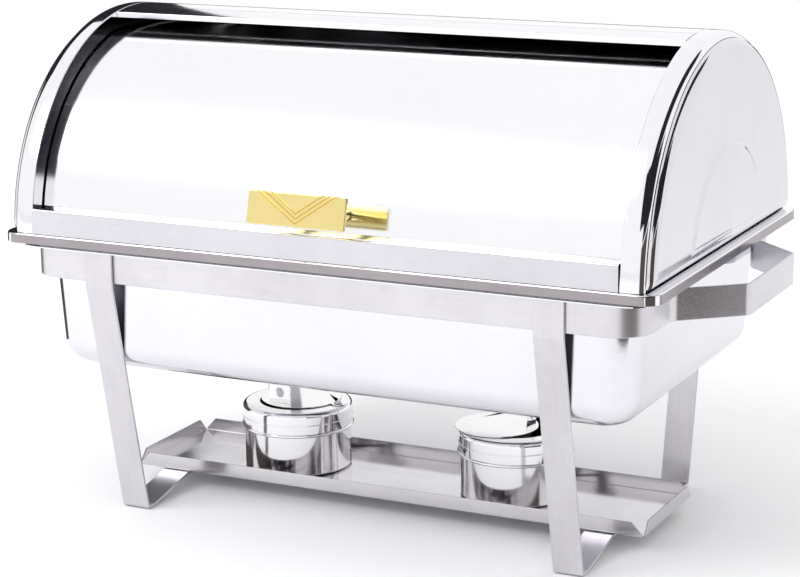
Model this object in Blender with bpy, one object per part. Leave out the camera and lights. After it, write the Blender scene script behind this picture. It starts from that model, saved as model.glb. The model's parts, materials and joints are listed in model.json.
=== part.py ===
"""Full-size roll-top chafing dish, built piece by piece.

Metres, +Z up, +X along the length, -Y towards the guest who opens the roll cover.
The origin is on the table, under the centre of the whole object's footprint.
"""

import math

import bmesh
import bpy
from mathutils import Matrix, Vector

# Clearances
GAP = 0.0003                    # between pieces that touch
SHEET = 0.0010                  # formed sheet steel
THIN_SHEET = 0.0008             # spun and lightly formed sheet steel

# Lid frame, and the arch above it
RIM_HALF_X = 0.288
RIM_HALF_Y = 0.178
RIM_TOP = 0.245
RIM_LIP = 0.008
RIM_CORNER = 0.016
LID_AXIS_Z = 0.241              # height of the roll cover's axis
ARCH_RADIUS = 0.1745
ARCH_INNER_X = 0.2575
ARCH_WIDTH = 0.0189
ARCH_RECESS = 0.013             # depth of the wall beside the roll cover
ARCH_OUTER_WALL = 0.0055
COVER_RADIUS = 0.160
COVER_HALF_X = 0.2657
COVER_FRONT = 88.0              # degrees from the apex towards the front
COVER_REAR = -6.0
STRIP_REAR = 4.5
STRIP_FRONT = 11.7
RAIL_HEIGHT = 0.021
RAIL_FACE_Y = 0.1755
PANEL_RADIUS = ARCH_RADIUS - ARCH_OUTER_WALL - GAP
PANEL_ROUND = 0.007
PANEL_FACE_X = 0.2827
PANEL_FOOT_X = 0.2730
EMBOSS_RADIUS = 0.086
EMBOSS_HEIGHT = 0.0018

# Roll cover's arms, pivots and handle
ARM_X = 0.2660
ARM_THICKNESS = 0.0015
ARM_FROM, ARM_TO = 22.0, 72.0
PIVOT_RADIUS = 0.0020
PIVOT_BOSS = 0.0055
HANDLE_ANGLE = 76.0
PLATE_STANDOFF = 0.0355
PLATE_THICKNESS = 0.0032
PLATE_HALF_WIDTH = 0.0425
PLATE_HALF_HEIGHT = 0.0130
POST_RADIUS = 0.0035
POST_SPACING = 0.050
SCREW_RADIUS = 0.0019

# Stand: one strap section for the band, its handles and the legs
STRAP_WIDTH = 0.0253
STRAP_THICKNESS = 0.0025
BAND_TOP = 0.2323
BAND_HALF_X = 0.2717
BAND_HALF_Y = 0.1651
BAND_CORNER = 0.030
HANDLE_HALF_X = 0.3211
HANDLE_HALF_Y = 0.0576
HANDLE_ROOT_Y = 0.100
LEG_X = 0.1992
LEG_TOP_Y = 0.1681
LEG_BEND_Z = 0.203
FOOT_Y = 0.1254
FOOT_LENGTH = 0.010             # the flat stretch that stands on the table
CROSSBAR_Y = 0.0600
CROSSBAR_TOP = 0.0136
SHELF_HALF_X = 0.2374
SHELF_HALF_Y = 0.0576
SHELF_FLANGE = 0.0110

# Pans: the food pan is a standard full-size 530 x 325 x 65 mm one
WATER_HALF_X = 0.2635
WATER_HALF_Y = 0.1585
WATER_FLANGE_X = 0.2780
WATER_FLANGE_Y = 0.1705
WATER_BOTTOM = 0.1290
WATER_TAPER = 0.005
FOOD_FLANGE_X = 0.2650
FOOD_FLANGE_Y = 0.1625
FOOD_FLANGE_CORNER = 0.022
FOOD_HALF_X = 0.2530
FOOD_HALF_Y = 0.1505
FOOD_DEPTH = 0.065
FOOD_TAPER = 0.006

# Burners
CAN_RADIUS = 0.0468
CAP_RADIUS = 0.0487
CAP_BEAD = 0.0010
CAN_TO_CAP = 0.0360             # from the can's foot to the cap's bead
CAP_SKIRT = 0.0173
CAP_SHOULDER = 0.0040
CAP_OPENING = 0.0330
SNUFFER_RADIUS = 0.0355
SNUFFER_ARM = 0.0400            # from the burner's axis to the snuffer's rivet
RIVET_RADIUS = 0.0020
TAB_WIDTH = 0.0225
TAB_HEIGHT = 0.0215
TAB_EDGE = 0.0310
TAB_HOLE = 0.0045
# x, y, direction of the rivet from the axis, how far the snuffer is swung open
BURNERS = {
    "left": (-0.110, 0.004, 0.0, 8.6),
    "right": (0.098, 0.006, 116.0, 23.0),
}

ARC_STEP = 4.0                  # degrees between the sections of an arch
ROUND_STEPS = 40                # sides of a turned piece

PLATE_BACK = COVER_RADIUS + PLATE_STANDOFF
PLATE_FRONT = PLATE_BACK + PLATE_THICKNESS
PLATE_REACH = (
    PLATE_FRONT * math.sin(math.radians(HANDLE_ANGLE))
    + PLATE_HALF_HEIGHT * math.cos(math.radians(HANDLE_ANGLE))
)
# The lid's centre plane lies behind the origin by half of the handle's overhang.
CENTRE_Y = (PLATE_REACH - RIM_HALF_Y) / 2
LID_FOOT = RIM_TOP + GAP
ARCH_OUTER_X = ARCH_INNER_X + ARCH_WIDTH
SHELF_BOTTOM = CROSSBAR_TOP + GAP
BURNER_FOOT = SHELF_BOTTOM + SHEET + GAP


def clear_scene():
    for item in list(bpy.data.objects):
        bpy.data.objects.remove(item)


def material(name, colour, roughness):
    made = bpy.data.materials.new(name)
    made.use_nodes = True
    shader = made.node_tree.nodes["Principled BSDF"]
    shader.inputs["Base Color"].default_value = (*colour, 1.0)
    shader.inputs["Roughness"].default_value = roughness
    shader.inputs["Metallic"].default_value = 1.0
    return made


def empty(name, location):
    made = bpy.data.objects.new(name, None)
    made.location = location
    bpy.context.scene.collection.objects.link(made)
    return made


def finish_mesh(name, bm, finish, location, parent=None, sharp=32.0):
    """Links a bmesh as one named object, with smooth round faces and sharp corners."""
    bmesh.ops.remove_doubles(bm, verts=bm.verts, dist=1e-6)
    bmesh.ops.recalc_face_normals(bm, faces=bm.faces)
    if bm.calc_volume(signed=True) < 0:
        bmesh.ops.reverse_faces(bm, faces=bm.faces)
    mesh = bpy.data.meshes.new(name)
    bm.to_mesh(mesh)
    bm.free()
    made = bpy.data.objects.new(name, mesh)
    bpy.context.scene.collection.objects.link(made)
    mesh.materials.append(make_own(finish, name))
    mesh.shade_smooth()
    mesh.set_sharp_from_angle(angle=math.radians(sharp))
    made.location = location
    made.parent = parent
    return made


def make_own(finish, name):
    colour, roughness = FINISHES[finish]
    return material(name + "_" + finish, colour, roughness)


def add_skin(bm, rings, closed):
    """Faces between equally long loops of points. Open skins are capped at both ends."""
    rows = [[bm.verts.new(point) for point in ring] for ring in rings]
    pairs = list(zip(rows, rows[1:]))
    if closed:
        pairs.append((rows[-1], rows[0]))
    count = len(rows[0])
    for low, high in pairs:
        for i in range(count):
            j = (i + 1) % count
            bm.faces.new((low[i], low[j], high[j], high[i]))
    if not closed:
        bm.faces.new(list(reversed(rows[0])))
        bm.faces.new(rows[-1])


def skin(name, rings, finish, location=(0, 0, 0), parent=None, closed=False, sharp=32.0):
    bm = bmesh.new()
    add_skin(bm, rings, closed)
    return finish_mesh(name, bm, finish, location, parent, sharp)


def cut(target, cutter, operation="DIFFERENCE"):
    """Applies a Boolean with cutter to target, and removes cutter."""
    bpy.context.view_layer.update()
    step = target.modifiers.new("cut", "BOOLEAN")
    step.operation = operation
    step.object = cutter
    step.solver = "EXACT"
    bpy.context.view_layer.update()
    shown = target.evaluated_get(bpy.context.evaluated_depsgraph_get())
    result = bpy.data.meshes.new_from_object(shown)
    target.modifiers.remove(step)
    target.data = result
    result.shade_smooth()
    result.set_sharp_from_angle(angle=math.radians(32.0))
    bpy.data.objects.remove(cutter)
    return target


def rounded_rectangle(half_x, half_y, corner, z, steps=5):
    points = []
    quarters = ((1, 1, 0), (-1, 1, 90), (-1, -1, 180), (1, -1, 270))
    for side_x, side_y, start in quarters:
        for step in range(steps + 1):
            angle = math.radians(start + 90 * step / steps)
            x = side_x * (half_x - corner) + corner * math.cos(angle)
            y = side_y * (half_y - corner) + corner * math.sin(angle)
            points.append((x, y, z))
    return points


def circle(radius, z, steps=ROUND_STEPS, centre=(0, 0)):
    points = []
    for step in range(steps):
        angle = 2 * math.pi * step / steps
        points.append((centre[0] + radius * math.cos(angle), centre[1] + radius * math.sin(angle), z))
    return points


def round_corner(before, corner, after, radius, steps):
    """Points of an arc of that radius which replaces the corner of a flat path."""
    p, a, b = Vector(corner), Vector(before), Vector(after)
    to_a, to_b = (a - p).normalized(), (b - p).normalized()
    half = to_a.angle(to_b) / 2
    reach = radius / math.tan(half)
    centre = p + (to_a + to_b).normalized() * radius / math.sin(half)
    start, end = p + to_a * reach - centre, p + to_b * reach - centre
    turn = math.atan2(start.x * end.y - start.y * end.x, start.dot(end))
    points = []
    for step in range(steps + 1):
        points.append(centre + Matrix.Rotation(turn * step / steps, 2) @ start)
    return points


def flat_path(corners, closed, steps=6):
    """A flat path through (a, b, radius) corners, with its bends rounded."""
    points = []
    for i, (a, b, radius) in enumerate(corners):
        is_end = not closed and i in (0, len(corners) - 1)
        if is_end or radius == 0:
            points.append(Vector((a, b)))
            continue
        before, after = corners[i - 1][:2], corners[(i + 1) % len(corners)][:2]
        points.extend(round_corner(before, (a, b), after, radius, steps))
    return points


def strap_edges(points, closed, thickness):
    """The left and right edge of a strap whose outer (right) face follows a flat path."""
    pairs = []
    for i, here in enumerate(points):
        before = points[i - 1] if closed or i > 0 else None
        after = points[(i + 1) % len(points)] if closed or i < len(points) - 1 else None
        normals = []
        for start, end in ((before, here), (here, after)):
            if start is not None and end is not None and (end - start).length > 1e-9:
                run = (end - start).normalized()
                normals.append(Vector((-run.y, run.x)))
        normal = sum(normals, Vector((0, 0))).normalized()
        stretch = 1 / normal.dot(normals[0])
        pairs.append((here, here + normal * thickness * stretch))
    return pairs


def arc_angles(start, end, step=ARC_STEP):
    count = max(1, round(abs(end - start) / step))
    return [start + (end - start) * i / count for i in range(count + 1)]


def on_arch(x, radius, degrees_from_apex):
    """A point around the roll cover's axis, with positive angles towards the front."""
    angle = math.radians(degrees_from_apex)
    return (x, -radius * math.sin(angle), radius * math.cos(angle))


def arch(name, outline, start, end, finish, parent=None):
    """Sweeps an (x, radius) outline around the roll cover's axis."""
    rings = []
    for degrees in arc_angles(start, end):
        rings.append([on_arch(x, radius, degrees) for x, radius in outline])
    return skin(name, rings, finish, (0, CENTRE_Y, LID_AXIS_Z), parent)


def foot_angle(radius):
    """Angle from the apex at which a circle around the axis meets the lid frame's top."""
    return 90 - math.degrees(math.asin((LID_FOOT - LID_AXIS_Z) / radius))


def rod(axis_start, axis_end, rings):
    """Loops of a round rod along a line, from (distance, radius) pairs."""
    start, end = Vector(axis_start), Vector(axis_end)
    along = (end - start).normalized()
    turn = along.to_track_quat("Z", "Y").to_matrix()
    loops = []
    for distance, radius in rings:
        loop = []
        for x, y, _ in circle(radius, 0, 16):
            loop.append(start + along * distance + turn @ Vector((x, y, 0)))
        loops.append(loop)
    return loops


# ---------------------------------------------------------------- stand

def build_stand():
    build_band()
    for side, name in ((-1, "left"), (1, "right")):
        build_leg(side, name)
    build_shelf()


def build_band():
    """The strap that holds the water pan, one closed loop with a handle at each end."""
    right = [
        (BAND_HALF_X, -BAND_HALF_Y, BAND_CORNER),
        (BAND_HALF_X, -HANDLE_ROOT_Y, 0.014),
        (HANDLE_HALF_X, -HANDLE_HALF_Y, 0.010),
        (HANDLE_HALF_X, HANDLE_HALF_Y, 0.010),
        (BAND_HALF_X, HANDLE_ROOT_Y, 0.014),
        (BAND_HALF_X, BAND_HALF_Y, BAND_CORNER),
    ]
    left = [(-a, -b, radius) for a, b, radius in right]
    path = flat_path(right + left, closed=True)
    rings = []
    for outer, inner in strap_edges(path, True, STRAP_THICKNESS):
        low, high = BAND_TOP - STRAP_WIDTH, BAND_TOP
        rings.append([(*outer, low), (*outer, high), (*inner, high), (*inner, low)])
    skin("stand_band", rings, "satin_steel", (0, CENTRE_Y, 0), closed=True)


def build_leg(side, name):
    """A strap from the band's front face, under the shelf, to its rear face."""
    half = [
        (LEG_TOP_Y, BAND_TOP, 0),
        (LEG_TOP_Y, LEG_BEND_Z, 0.012),
        (FOOT_Y, 0.0, 0.004),
        (FOOT_Y - FOOT_LENGTH, 0.0, 0.008),
        (CROSSBAR_Y, CROSSBAR_TOP - STRAP_THICKNESS, 0.012),
    ]
    front = [(-y, z, radius) for y, z, radius in half]
    path = flat_path(front + list(reversed(half)), closed=False)
    lowest = min(point.y for point in path)
    x_low, x_high = side * LEG_X - STRAP_WIDTH / 2, side * LEG_X + STRAP_WIDTH / 2
    rings = []
    for outer, inner in strap_edges(path, False, STRAP_THICKNESS):
        ring = [(outer, x_low), (outer, x_high), (inner, x_high), (inner, x_low)]
        rings.append([(x, point.x, point.y - lowest) for point, x in ring])
    skin("leg_" + name, rings, "satin_steel", (0, CENTRE_Y, 0))


def build_shelf():
    """A plate with four upturned flanges, whose ends are cut at 45 degrees."""
    bm = bmesh.new()
    low, top = SHELF_BOTTOM, SHELF_BOTTOM + SHEET
    corner = 0.006
    plate = [rounded_rectangle(SHELF_HALF_X, SHELF_HALF_Y, corner, z, 3) for z in (low, top)]
    add_skin(bm, plate, False)
    tray = finish_mesh("fuel_shelf", bm, "polished_steel", (0, CENTRE_Y, 0))
    for direction in range(4):
        along_x = direction % 2 == 0
        side = 1 if direction < 2 else -1
        reach = SHELF_HALF_Y if along_x else SHELF_HALF_X
        length = (SHELF_HALF_X if along_x else SHELF_HALF_Y) - corner
        outline = [
            (-length, low + SHEET / 2),
            (length, low + SHEET / 2),
            (length, top),
            (length - SHELF_FLANGE, top + SHELF_FLANGE),
            (-length + SHELF_FLANGE, top + SHELF_FLANGE),
            (-length, top),
        ]
        rings = []
        for inset in (0.0, SHEET):
            across = side * (reach - inset)
            rings.append([(a, across, z) if along_x else (across, a, z) for a, z in outline])
        flange = skin("flange", rings, "polished_steel", (0, CENTRE_Y, 0))
        cut(tray, flange, "UNION")


# ---------------------------------------------------------------- pans

def pan_rings(half_x, half_y, corner, bottom, top, taper, edge, thickness, flange):
    """Loops of a pressed pan, from its outer bottom to its flange and back down inside."""
    flange_x, flange_y, flange_corner = flange
    outer, inner = [], []
    for step in range(5):
        angle = math.radians(90 - 22.5 * step)
        for loops, wall in ((outer, 0.0), (inner, thickness)):
            radius = edge - wall
            back = taper + wall + radius * (1 - math.cos(angle))
            z = bottom + wall + radius * (1 - math.sin(angle))
            turn = corner - min(back, corner * 0.75)
            loops.append(rounded_rectangle(half_x - back, half_y - back, turn, z))
    under = top - thickness
    rings = list(outer)
    rings.append(rounded_rectangle(half_x, half_y, corner, under - 0.002))
    rings.append(rounded_rectangle(half_x + 0.002, half_y + 0.002, corner, under))
    rings.append(rounded_rectangle(flange_x, flange_y, flange_corner, under))
    rings.append(rounded_rectangle(flange_x, flange_y, flange_corner, top))
    rings.append(rounded_rectangle(half_x + 0.001, half_y + 0.001, corner - thickness, top))
    rings.append(rounded_rectangle(half_x - thickness, half_y - thickness, corner - thickness, under - 0.002))
    rings.extend(reversed(inner))
    return rings


def build_pans():
    water_top = BAND_TOP + GAP + SHEET
    rings = pan_rings(
        WATER_HALF_X, WATER_HALF_Y, 0.036, WATER_BOTTOM, water_top,
        WATER_TAPER, 0.022, SHEET, (WATER_FLANGE_X, WATER_FLANGE_Y, 0.020),
    )
    skin("water_pan", rings, "polished_steel", (0, CENTRE_Y, 0))
    food_top = water_top + GAP + THIN_SHEET
    rings = pan_rings(
        FOOD_HALF_X, FOOD_HALF_Y, 0.030, food_top - FOOD_DEPTH, food_top,
        FOOD_TAPER, 0.016, THIN_SHEET, (FOOD_FLANGE_X, FOOD_FLANGE_Y, FOOD_FLANGE_CORNER),
    )
    skin("food_pan", rings, "satin_steel", (0, CENTRE_Y, 0))
    return water_top


# ---------------------------------------------------------------- lid

def build_lid(frame_foot):
    build_lid_frame(frame_foot)
    for side, name in ((-1, "left"), (1, "right")):
        build_arch_band(side, name)
        build_end_panel(side, name)
        build_pivot_pin(side, name)
    inner, outer = ARCH_RADIUS - SHEET, ARCH_RADIUS
    half = ARCH_INNER_X - GAP
    sheet = [(-half, inner), (half, inner), (half, outer), (-half, outer)]
    rear_end = -foot_angle(inner)
    arch("rear_cover", sheet, STRIP_REAR - 0.15, rear_end, "polished_steel")
    build_top_strip(half)
    build_front_rail(half)


def build_lid_frame(foot):
    """A channel around the opening: a lip outside, a wall inside that stands on the water pan."""
    rim_x, rim_y = RIM_HALF_X, RIM_HALF_Y
    well_x, well_y = ARM_X + ARM_THICKNESS + 0.0015, FOOD_FLANGE_Y + 0.002
    soft = 0.0012
    profile = [
        (rim_x, rim_y, RIM_CORNER, RIM_TOP - RIM_LIP),
        (rim_x, rim_y, RIM_CORNER, RIM_TOP - soft),
        (rim_x - soft * 0.3, rim_y - soft * 0.3, RIM_CORNER, RIM_TOP - soft * 0.3),
        (rim_x - soft, rim_y - soft, RIM_CORNER - soft, RIM_TOP),
        (well_x, well_y, 0.012, RIM_TOP),
        (well_x, well_y, 0.012, foot),
        (well_x + SHEET, well_y + SHEET, 0.013, foot),
        (well_x + SHEET, well_y + SHEET, 0.013, RIM_TOP - SHEET),
        (rim_x - SHEET, rim_y - SHEET, RIM_CORNER - SHEET, RIM_TOP - SHEET),
        (rim_x - SHEET, rim_y - SHEET, RIM_CORNER - SHEET, RIM_TOP - RIM_LIP),
    ]
    rings = [rounded_rectangle(x, y, corner, z) for x, y, corner, z in profile]
    frame = skin("lid_base_frame", rings, "polished_steel", (0, CENTRE_Y, 0), closed=True)
    for side in (-1, 1):
        start = (side * (well_x - 0.003), 0, LID_AXIS_Z)
        end = (side * (well_x + 0.004), 0, LID_AXIS_Z)
        loops = rod(start, end, [(0, PIVOT_RADIUS + GAP), (0.007, PIVOT_RADIUS + GAP)])
        cut(frame, skin("pivot_hole", loops, "polished_steel", (0, CENTRE_Y, 0)))


def build_arch_band(side, name):
    """The channel that frames the opening: a deep wall beside the cover, a short one outside."""
    inner, outer = ARCH_INNER_X, ARCH_OUTER_X
    outline = [
        (inner, ARCH_RADIUS - ARCH_RECESS),
        (inner + SHEET, ARCH_RADIUS - ARCH_RECESS),
        (inner + SHEET, ARCH_RADIUS - SHEET),
        (outer - SHEET, ARCH_RADIUS - SHEET),
        (outer - SHEET, ARCH_RADIUS - ARCH_OUTER_WALL),
        (outer, ARCH_RADIUS - ARCH_OUTER_WALL),
        (outer, ARCH_RADIUS - SHEET * 0.7),
        (outer - SHEET * 0.7, ARCH_RADIUS),
        (inner, ARCH_RADIUS),
    ]
    outline = [(side * x, radius) for x, radius in outline]
    rings = []
    for degrees in arc_angles(-90, 90):
        ring = []
        for x, radius in outline:
            end = foot_angle(radius)
            ring.append(on_arch(x, radius, max(-end, min(end, degrees * end / 90))))
        rings.append(ring)
    skin("arch_band_" + name, rings, "polished_steel", (0, CENTRE_Y, LID_AXIS_Z))


def half_disc(radius, bottom, x_arc, x_bottom, arc_steps=32):
    """A closed loop around a half disc that stands on its straight side."""
    start = math.asin((bottom - LID_AXIS_Z) / radius)
    points = []
    for step in range(arc_steps + 1):
        angle = start + (math.pi - 2 * start) * step / arc_steps
        points.append((x_arc, -radius * math.cos(angle), LID_AXIS_Z + radius * math.sin(angle)))
    points[0] = (x_bottom, points[0][1], points[0][2])
    points[-1] = (x_bottom, points[-1][1], points[-1][2])
    return points


def build_end_panel(side, name):
    """A pressed half disc with a rounded edge and a raised half disc in its middle."""
    edge_x = ARCH_OUTER_X + GAP
    stations = []
    for step in range(5):
        angle = math.radians(22.5 * step)
        rise = math.sin(angle)
        inward = PANEL_ROUND * (1 - math.cos(angle))
        stations.append((
            PANEL_RADIUS - inward,
            LID_FOOT + inward * 1.3,
            edge_x + (PANEL_FACE_X - edge_x) * rise,
            PANEL_FOOT_X + (PANEL_FACE_X - PANEL_FOOT_X) * rise,
        ))
    raised = PANEL_FACE_X + EMBOSS_HEIGHT
    stations.append((EMBOSS_RADIUS + 0.003, LID_FOOT + 0.011, PANEL_FACE_X, PANEL_FACE_X))
    stations.append((EMBOSS_RADIUS + 0.0008, LID_FOOT + 0.0125, raised - 0.0004, raised - 0.0004))
    stations.append((EMBOSS_RADIUS - 0.0015, LID_FOOT + 0.014, raised, raised))
    outer = []
    for radius, bottom, x_arc, x_foot in stations:
        outer.append(half_disc(radius, bottom, side * x_arc, side * x_foot))
    radius, bottom, x_arc, x_foot = stations[0]
    inner = [half_disc(radius - SHEET, bottom, side * x_arc, side * (x_foot - SHEET))]
    for radius, bottom, x_arc, x_foot in stations[2:7:2]:
        x_arc, x_foot = side * (x_arc - SHEET), side * (x_foot - SHEET)
        inner.append(half_disc(radius - SHEET * 0.7, bottom + SHEET * 0.8, x_arc, x_foot))
    rings = list(reversed(outer)) + inner
    if side > 0:
        rings.reverse()
    skin("end_panel_" + name, rings, "polished_steel", (0, CENTRE_Y, 0), sharp=24.0)


def build_top_strip(half):
    """The hem across the apex: a strip with its front edge folded down."""
    inner, outer = ARCH_RADIUS - SHEET, ARCH_RADIUS
    fold = ARCH_RADIUS - 0.0045
    angles = arc_angles(STRIP_REAR, STRIP_FRONT, 1.2)
    rings = []
    thick = math.degrees(SHEET / ARCH_RADIUS)
    outline = [(outer, angle) for angle in angles]
    outline += [(fold, STRIP_FRONT), (fold, STRIP_FRONT - thick), (inner, STRIP_FRONT - thick)]
    outline += [(inner, angle) for angle in reversed(angles[:-1])]
    for x in (-half, half):
        rings.append([on_arch(x, radius, angle) for radius, angle in outline])
    skin("top_strip", rings, "polished_steel", (0, CENTRE_Y, LID_AXIS_Z))


def build_front_rail(half):
    """The sill of the opening: a channel with its open side towards the inside."""
    foot, top = LID_FOOT, LID_FOOT + RAIL_HEIGHT
    face = -RAIL_FACE_Y
    reach = -math.sqrt((COVER_RADIUS + 0.0015) ** 2 - (top - LID_AXIS_Z) ** 2)
    sill = -(COVER_RADIUS - 0.003)
    soft = 0.0012
    outline = [
        (face, foot),
        (face, top - soft),
        (face + soft * 0.3, top - soft * 0.3),
        (face + soft, top),
        (reach, top),
        (reach, top - SHEET),
        (face + SHEET, top - SHEET),
        (face + SHEET, foot + SHEET),
        (sill, foot + SHEET),
        (sill, foot),
    ]
    rings = [[(x, y, z) for y, z in outline] for x in (-half, half)]
    skin("front_rail", rings, "polished_steel", (0, CENTRE_Y, 0))


def build_pivot_pin(side, name):
    """A rivet in the lid frame's end wall, with its head inside the cover's arm."""
    head_x = ARM_X - GAP - 0.0013
    start = (side * head_x, 0, 0)
    end = (side * (head_x + 1), 0, 0)
    neck = 0.0013
    length = ARM_X + ARM_THICKNESS + 0.0045 - head_x
    profile = [(0, 0.0032), (0.0005, 0.0042), (neck, 0.0042), (neck, PIVOT_RADIUS), (length, PIVOT_RADIUS)]
    rings = rod(start, end, profile)
    skin("pivot_pin_" + name, rings, "satin_steel", (0, CENTRE_Y, LID_AXIS_Z))


# ---------------------------------------------------------------- roll cover

def build_roll_cover():
    axis = empty("roll_cover_axis", (0, CENTRE_Y, LID_AXIS_Z))
    inner, outer = COVER_RADIUS - THIN_SHEET, COVER_RADIUS
    sheet = [(-COVER_HALF_X, inner), (COVER_HALF_X, inner), (COVER_HALF_X, outer), (-COVER_HALF_X, outer)]
    rings = []
    for degrees in arc_angles(COVER_REAR, COVER_FRONT):
        rings.append([on_arch(x, radius, degrees) for x, radius in sheet])
    cover = skin("roll_cover", rings, "polished_steel", parent=axis)
    outward = Vector(on_arch(0, 1, HANDLE_ANGLE))
    for side in (-1, 1):
        foot = Vector((side * POST_SPACING / 2, 0, 0))
        hole = [(COVER_RADIUS - 0.004, SCREW_RADIUS + GAP), (COVER_RADIUS + 0.004, SCREW_RADIUS + GAP)]
        cut(cover, skin("hole", rod(foot, foot + outward, hole), "satin_steel", parent=axis))
    for side, name in ((-1, "left"), (1, "right")):
        build_cover_arm(side, name, axis)
    build_handle(axis, outward)


def build_cover_arm(side, name, axis):
    """A sector plate from the pivot to the cover's end."""
    edge = COVER_RADIUS - THIN_SHEET - GAP
    outline = [(edge, angle) for angle in arc_angles(ARM_FROM, ARM_TO)]
    outline += [(PIVOT_BOSS, angle) for angle in arc_angles(ARM_TO + 80, ARM_FROM - 80 + 360, 20)]
    rings = []
    for x in (ARM_X, ARM_X + ARM_THICKNESS):
        rings.append([on_arch(side * x, radius, angle) for radius, angle in outline])
    arm = skin("cover_arm_" + name, rings, "satin_steel", parent=axis)
    start = (side * (ARM_X - 0.002), 0, 0)
    end = (side * (ARM_X + 0.004), 0, 0)
    hole = PIVOT_RADIUS + 0.0001
    cut(arm, skin("hole", rod(start, end, [(0, hole), (0.006, hole)]), "satin_steel", parent=axis))


def build_handle(axis, outward):
    """A plate on two posts, screwed on from inside the cover."""
    along_arc = Vector(on_arch(0, 1, HANDLE_ANGLE + 90))
    soft = 0.0008
    rings = []
    edges = ((PLATE_BACK, soft), (PLATE_BACK + soft, 0), (PLATE_FRONT - soft, 0), (PLATE_FRONT, soft))
    for distance, inset in edges:
        ring = []
        for x, y, _ in rounded_rectangle(PLATE_HALF_WIDTH - inset, PLATE_HALF_HEIGHT - inset, 0.0015, 0, 2):
            ring.append(Vector((x, 0, 0)) + along_arc * y + outward * distance)
        rings.append(ring)
    skin("handle_plate", rings, "gold", parent=axis)
    for side, name in ((-1, "left"), (1, "right")):
        foot = Vector((side * POST_SPACING / 2, 0, 0))
        bore = SCREW_RADIUS + GAP
        seat = COVER_RADIUS + GAP
        post = [(seat + 0.010, bore), (seat, bore), (seat, 0.0045), (seat + 0.0012, 0.0045),
                (seat + 0.003, POST_RADIUS), (PLATE_BACK - GAP, POST_RADIUS)]
        skin("handle_post_" + name, rod(foot, foot + outward, post), "gold", parent=axis)
        head = COVER_RADIUS - THIN_SHEET - GAP
        screw = [(head - 0.0022, 0.0025), (head - 0.0016, 0.0038), (head, 0.0040), (head, SCREW_RADIUS),
                 (seat + 0.008, SCREW_RADIUS)]
        skin("handle_screw_" + name, rod(foot, foot + outward, screw), "satin_steel", parent=axis)


# ---------------------------------------------------------------- burners

def build_burner(name, x, y, rivet_direction, open_angle):
    place = empty("burner_" + name, (x, CENTRE_Y + y, BURNER_FOOT))
    place.rotation_euler = (0, 0, math.radians(rivet_direction))
    build_can(name, place)
    top = build_cap(name, place)
    pivot = empty("snuffer_axis_" + name, (SNUFFER_ARM, 0, top))
    pivot.rotation_euler = (0, 0, -math.radians(open_angle))
    pivot.parent = place
    build_snuffer(name, pivot)
    rivet = [(-0.0030, 0.0030), (-0.0030 + 0.0008, 0.0032), (-THIN_SHEET - GAP, 0.0032),
             (-THIN_SHEET - GAP, RIVET_RADIUS), (THIN_SHEET + 2 * GAP, RIVET_RADIUS),
             (THIN_SHEET + 2 * GAP, 0.0036), (THIN_SHEET + 0.0016, 0.0030), (THIN_SHEET + 0.0021, 0.0014)]
    rings = [circle(radius, z, 16) for z, radius in rivet]
    skin("snuffer_rivet_" + name, rings, "satin_steel", parent=pivot)


def build_can(name, place):
    """A plain cup for the fuel tin."""
    height = CAN_TO_CAP + 0.014
    soft = 0.002
    profile = [
        (CAN_RADIUS - soft, 0), (CAN_RADIUS - soft * 0.3, soft * 0.3), (CAN_RADIUS, soft),
        (CAN_RADIUS, height), (CAN_RADIUS - THIN_SHEET, height),
        (CAN_RADIUS - THIN_SHEET, soft), (CAN_RADIUS - soft, THIN_SHEET),
    ]
    rings = [circle(radius, z) for radius, z in profile]
    skin("burner_can_" + name, rings, "polished_steel", parent=place)


def build_cap(name, place):
    """The ring cap: a beaded skirt outside the can and a flat top with a round opening."""
    low, high = CAN_TO_CAP, CAN_TO_CAP + CAP_SKIRT
    sheet = THIN_SHEET
    profile = [(CAP_RADIUS - sheet, low), (CAP_RADIUS, low)]
    for step in range(1, 4):
        angle = math.radians(45 * step)
        rise = 1.3 * CAP_BEAD * (1 - math.cos(angle))
        profile.append((CAP_RADIUS + CAP_BEAD * math.sin(angle), low + rise))
    profile.append((CAP_RADIUS, low + 2.6 * CAP_BEAD))
    for step in range(4):
        angle = math.radians(30 * step)
        inset = CAP_SHOULDER * (1 - math.cos(angle))
        profile.append((CAP_RADIUS - inset, high + CAP_SHOULDER * math.sin(angle)))
    top = high + CAP_SHOULDER
    profile.append((CAP_OPENING, top))
    profile.append((CAP_OPENING, top - sheet))
    for angle in (math.radians(90), 0.0):
        radius = CAP_SHOULDER - sheet
        across = CAP_RADIUS - CAP_SHOULDER + radius * math.cos(angle)
        profile.append((across, high + radius * math.sin(angle)))
    rings = [circle(radius, z) for radius, z in profile]
    cap = skin("burner_cap_" + name, rings, "polished_steel", parent=place, closed=True)
    hole = [circle(RIVET_RADIUS + GAP, z, 24, (SNUFFER_ARM, 0)) for z in (top - 0.003, top + 0.002)]
    cut(cap, skin("hole", hole, "polished_steel", parent=place))
    return top


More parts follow.
